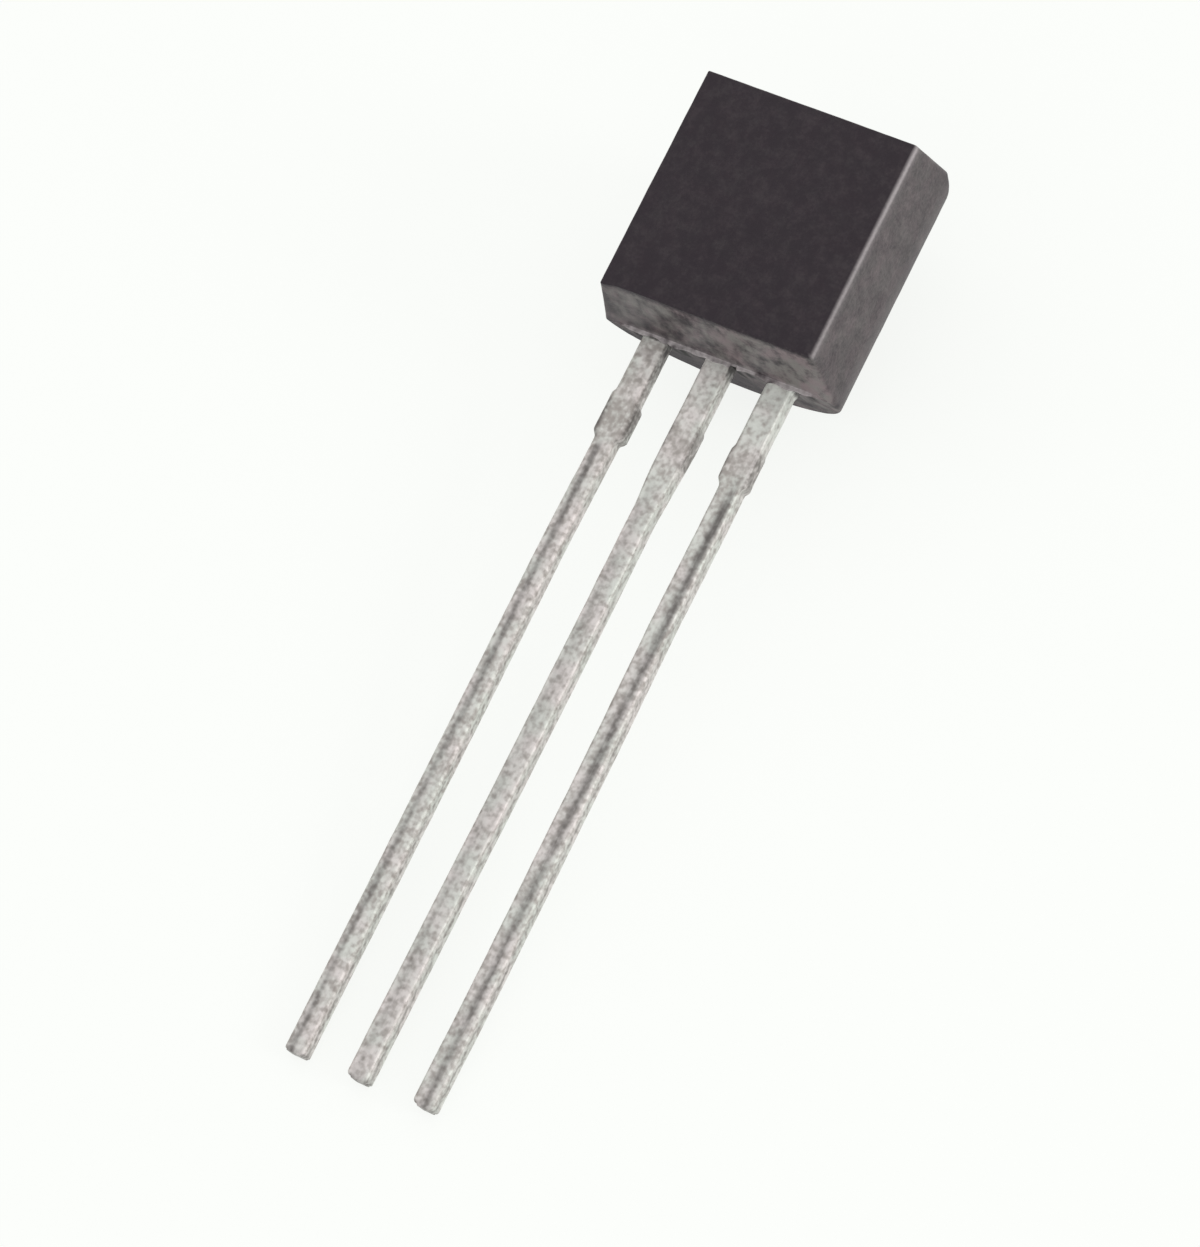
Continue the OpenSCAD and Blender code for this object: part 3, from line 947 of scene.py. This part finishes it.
def compound_finish(colours):
    """Black filled epoxy: fine matt grain, a grey haze off the flat that is painted light, a painted
    highlight along the flat's right edge and on the ledge, painted shade in the gaps and on the rear half.
    """
    f = Finish("moulding_compound")
    place = f.place()
    edge, flat, seam, under, rear, gap, fade, lean = f.masks(
        "edge", "flat", "seam", "under", "rear", "gap", "fade", "lean"
    )
    grain = f.noise(place, 15.0, 4.0, 0.6)
    fine = f.noise(place, 34.0, 3.0, 0.6)
    blotch = f.noise(f.stretched(place, (1.0, 0.6, 1.0)), 4.6, 1.8, 0.5)
    cloud = f.noise(place, 1.5, 3.0, 0.5)
    streaks = f.noise(f.stretched(place, (1.0, 0.2, 1.0)), 7.0, 2.0, 0.5)

    # Painted light: the haze lightens the faces off the flat, more so on the underside.
    tone = compound_with_painted_light(f, colours, (grain, fine, blotch, cloud), flat, under, fade, lean)
    tint = f.noise(place, 2.7, 2.0, 0.5).between(-0.15, 0.15)
    warm_or_cool = f.mix(tint, (1.06, 0.97, 1.0), (0.95, 1.03, 0.97))
    tone = f.mix(0.45 + under * 0.55, tone, warm_or_cool, blend="MULTIPLY")
    # Painted shade: the rear half is pulled back towards the black compound, in streaks.
    tone = f.mix(rear * (0.18 + streaks * 1.6 + grain * 0.6), tone, colours.compound)
    # A painted highlight along the flat's right edge.
    tone = f.mix(edge * (0.8 + grain * 0.5) * colours.edge_highlight, tone, colours.compound_highlight)
    # A painted highlight on the lit ledge and flash.
    tone = f.mix(seam * (0.8 + grain * 1.2), tone, colours.compound_highlight)
    # Painted shade in the voids, round the leads and behind the flash.
    tone = f.mix(gap * 0.95, tone, colours.gap)

    rough = 0.5 + grain * 0.25 + fine * 0.2 + rear * 0.2 + gap * 0.2 - edge * 0.08
    small = f.bump(fine, 0.006 * MM, 0.5)
    middle = f.bump(grain, 0.012 * MM, 0.45, small)
    large = f.bump(blotch * under, 0.02 * MM, 0.35, middle)
    return f.surface(Base_Color=tone, Roughness=rough, Specular_IOR_Level=0.36, Normal=large)


def tin_finish(colours):
    """Satin tin plating: mottled grains, a dark line that is a painted reflection, dull shoulders and stubs,
    a glint that is a painted highlight, painted shade next to the body, sheared sides.
    """
    f = Finish("tinned_lead")
    place = f.place()
    mark, body_shade, dull, rim, shear, edge, cut = f.masks("mark", "body_shade", "dull", "rim", "shear", "edge", "cut")
    grain = f.noise(place, 11.5, 1.6, 0.45)
    mottle = f.noise(place, 6.5, 1.6, 0.45)
    drawn = f.noise(f.stretched(place, (1.0, 1.0, 0.05)), 18.0, 2.0, 0.5)
    hue = f.noise(place, 1.7, 2.0, 0.5).between(-0.15, 0.15)
    patch = (grain * 0.58 + mottle * 0.42) * 2.0

    tone = f.mix(hue, colours.tin_warm, colours.tin_cool)
    dulled = (0.42 + dull * 0.6 + patch * 1.3 + drawn * 0.3).between(0.0, 1.0)
    tone = f.mix(dulled, tone, colours.tin_dull)
    # The dark line along the front: a painted reflection.
    line = (mark * (1.1 + patch * 0.5 + drawn * 0.6)).between(0.0, 1.05) * 0.95
    sides, outlines, tips = shear * (0.4 + patch * 0.6), rim * (0.55 + patch * 0.8), cut * (0.5 + patch * 0.8)
    for darkness in (line, sides, outlines, tips):
        tone = f.mix(darkness, tone, colours.tin_dark)
    # Painted shade next to the body: a dark film that is less metallic.
    cover = (body_shade * (1.0 + patch * 1.2)).between(0.1, 1.0) * 0.85
    tone = f.mix(cover, tone, colours.body_shade_tone)

    rough = 0.52 + patch * 0.15 + edge * 0.18 + dull * 0.06
    small = f.bump(grain, 0.007 * MM, 0.5)
    large = f.bump(mottle, 0.02 * MM, 0.45, small)
    return f.surface(Base_Color=tone, Metallic=1.0 - cover * 0.8, Roughness=rough, Normal=large)


def plain_metal_finish(name, tone, scale, smooth, rough):
    """A small inner piece: its tone and its roughness, from smooth to rough, broken up by grain."""
    f = Finish(name)
    grain = f.noise(f.node("TexCoord", out="Object"), scale, 4.0, 0.6)
    broken = f.mix(grain.between(-0.2, 0.2), tuple(0.6 * c for c in tone), tone)
    roughness = (smooth + rough) / 2 + grain * (rough - smooth)
    bump = f.bump(grain, 0.001 * MM, 0.4)
    return f.surface(Base_Color=broken, Metallic=1.0, Roughness=roughness, Normal=bump)


def floor_finish(studio):
    """Pale back-lit floor: part of its brightness comes from below, so that shadows stay faint."""
    f = Finish("pale_floor")
    return f.surface(
        Base_Color=(*(c * (1.0 - studio.floor_glow) for c in studio.floor_colour), 1.0),
        Roughness=0.9,
        Specular_IOR_Level=0.0,
        Emission_Color=(*studio.floor_colour, 1.0),
        Emission_Strength=studio.floor_glow,
    )


def dress(node_name, material):
    """Gives a CAD node's mesh one finish."""
    materials = frame["nodes"][node_name].data.materials
    materials.clear()
    materials.append(material)


def make_floor(scene, studio):
    """A square floor at height zero."""
    half = studio.floor / 2
    corners = [(-half, -half, 0.0), (half, -half, 0.0), (half, half, 0.0), (-half, half, 0.0)]
    mesh = bpy.data.meshes.new("floor")
    mesh.from_pydata(corners, [], [(0, 1, 2, 3)])
    mesh.materials.append(floor_finish(studio))
    floor = bpy.data.objects.new("floor", mesh)
    scene.collection.objects.link(floor)


def make_surroundings(scene, studio):
    """White surroundings, from the horizon's brightness to the one overhead."""
    world = bpy.data.worlds.new("surroundings")
    nodes = Nodes(world)
    height = nodes.node("SeparateXYZ", {}, {0: nodes.node("TexCoord", out="Generated")}, out="Z")
    sockets = {"Value": height, "To Min": studio.horizon, "To Max": studio.sky}
    strength = nodes.node("MapRange", {}, sockets)
    sky = nodes.node("Background", {}, {"Color": (*studio.sky_colour, 1.0), "Strength": strength})
    nodes.node("OutputWorld", {}, {"Surface": sky})
    scene.world = world


def direction(azimuth, elevation):
    """The way from the part to a light or the camera: azimuth 0 stands at -Y, 90 degrees at +X."""
    flat = math.cos(elevation)
    return Vector((math.sin(azimuth) * flat, -math.cos(azimuth) * flat, math.sin(elevation)))


def make_key_light(scene, studio, centre):
    """A square soft box that faces the part. Its power is its brightness times pi times its area."""
    lamp = bpy.data.lights.new("key_light", "AREA")
    lamp.shape = "SQUARE"
    lamp.size = studio.key_size
    lamp.energy = studio.key * math.pi * studio.key_size**2
    back = direction(studio.key_azimuth, studio.key_elevation)
    turn = back.to_track_quat("Z", "Y").to_matrix()
    item = bpy.data.objects.new("key_light", lamp)
    item.matrix_world = Matrix.Translation(centre + back * studio.key_distance) @ turn.to_4x4()
    scene.collection.objects.link(item)


def make_camera(scene, studio, centre):
    """The camera, from its azimuth, elevation, roll and distance to the point that it looks at."""
    data = bpy.data.cameras.new("camera")
    data.lens = studio.lens
    data.clip_start, data.clip_end = 5.0 * MM, 5000.0 * MM
    back = direction(studio.azimuth, studio.elevation)
    turn = back.to_track_quat("Z", "Y").to_matrix() @ Matrix.Rotation(-studio.roll, 3, "Z")
    camera = bpy.data.objects.new("camera", data)
    aim = centre + Vector(studio.aim)
    camera.matrix_world = Matrix.Translation(aim + back * studio.distance) @ turn.to_4x4()
    scene.collection.objects.link(camera)
    scene.camera = camera


class TRANSISTOR_OT_body(Operator):
    """Build the moulded body, with its flat, parting step, flash and voids"""

    bl_idname = "transistor.body"
    bl_label = "Moulded Body"

    def execute(self, context):
        scene = context.scene
        body = scene.transistor_body
        points, masks = body_surface(body, scene.transistor_lead)
        piece = grid_object("moulded_body", to_world(points, body), masks)
        piece.data.materials.append(compound_finish(scene.transistor_finish))
        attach(piece, "root")
        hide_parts("mould_body")
        return {"FINISHED"}


class TRANSISTOR_OT_leads(Operator):
    """Build the three tinned leads, with their shoulders, dam-bar stubs, sheared tips and inner heads"""

    bl_idname = "transistor.leads"
    bl_label = "Tinned Leads"

    def execute(self, context):
        scene = context.scene
        lead, body = scene.transistor_lead, scene.transistor_body
        metal = tin_finish(scene.transistor_finish)
        for node, look in LEADS.items():
            points, masks = lead_surface(lead, body, look, inner_head(node, body))
            piece = grid_object("tinned_" + node, to_world(points, body), masks)
            piece.data.materials.append(metal)
            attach(piece, "root")
            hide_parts(node)
        return {"FINISHED"}


class TRANSISTOR_OT_inner(Operator):
    """Finish the silicon die, its fixing layer and the gold bond wires"""

    bl_idname = "transistor.inner"
    bl_label = "Die and Wires"

    def execute(self, context):
        colours = context.scene.transistor_finish
        dress("silicon_die", plain_metal_finish("silicon", colours.silicon, 9000.0, 0.12, 0.3))
        dress("die_attach", plain_metal_finish("die_solder", colours.solder, 20000.0, 0.4, 0.6))
        gold = plain_metal_finish("gold_wire", colours.gold, 30000.0, 0.2, 0.35)
        dress("emitter_wire", gold)
        dress("base_wire", gold)
        return {"FINISHED"}


class TRANSISTOR_OT_stage(Operator):
    """Set out the pale floor, the soft light, the surroundings and the camera"""

    bl_idname = "transistor.stage"
    bl_label = "Studio"

    def execute(self, context):
        scene = context.scene
        studio = scene.transistor_studio
        centre = (CAD_LOW + CAD_HIGH) / 2
        make_floor(scene, studio)
        make_surroundings(scene, studio)
        make_key_light(scene, studio, centre)
        make_camera(scene, studio, centre)
        scene.view_settings.view_transform = "Standard"
        return {"FINISHED"}


class TRANSISTOR_PT_panel(Panel):
    """The sidebar panel that lists the builders and their settings"""

    bl_label = "Transistor"
    bl_idname = "TRANSISTOR_PT_panel"
    bl_space_type = "VIEW_3D"
    bl_region_type = "UI"
    bl_category = "Transistor"

    def draw(self, context):
        for operator in OPERATORS:
            self.layout.operator(operator.bl_idname)
        for group in GROUPS:
            settings = getattr(context.scene, group)
            box = self.layout.box()
            for key in GROUPS[group].__annotations__:
                box.prop(settings, key)


GROUPS = {
    "transistor_body": BodySizes,
    "transistor_lead": LeadSizes,
    "transistor_finish": FinishColours,
    "transistor_studio": StudioSettings,
}
OPERATORS = (TRANSISTOR_OT_body, TRANSISTOR_OT_leads, TRANSISTOR_OT_inner, TRANSISTOR_OT_stage)


def register():
    for kind in (*GROUPS.values(), *OPERATORS, TRANSISTOR_PT_panel):
        bpy.utils.register_class(kind)
    for key, kind in GROUPS.items():
        setattr(bpy.types.Scene, key, PointerProperty(type=kind))


def unregister():
    for key in GROUPS:
        delattr(bpy.types.Scene, key)
    for kind in (TRANSISTOR_PT_panel, *reversed(OPERATORS), *reversed(GROUPS.values())):
        bpy.utils.unregister_class(kind)


def main():
    register()
    bpy.ops.transistor.body()
    bpy.ops.transistor.leads()
    bpy.ops.transistor.inner()
    bpy.ops.transistor.stage()


if __name__ == "__main__":
    main()
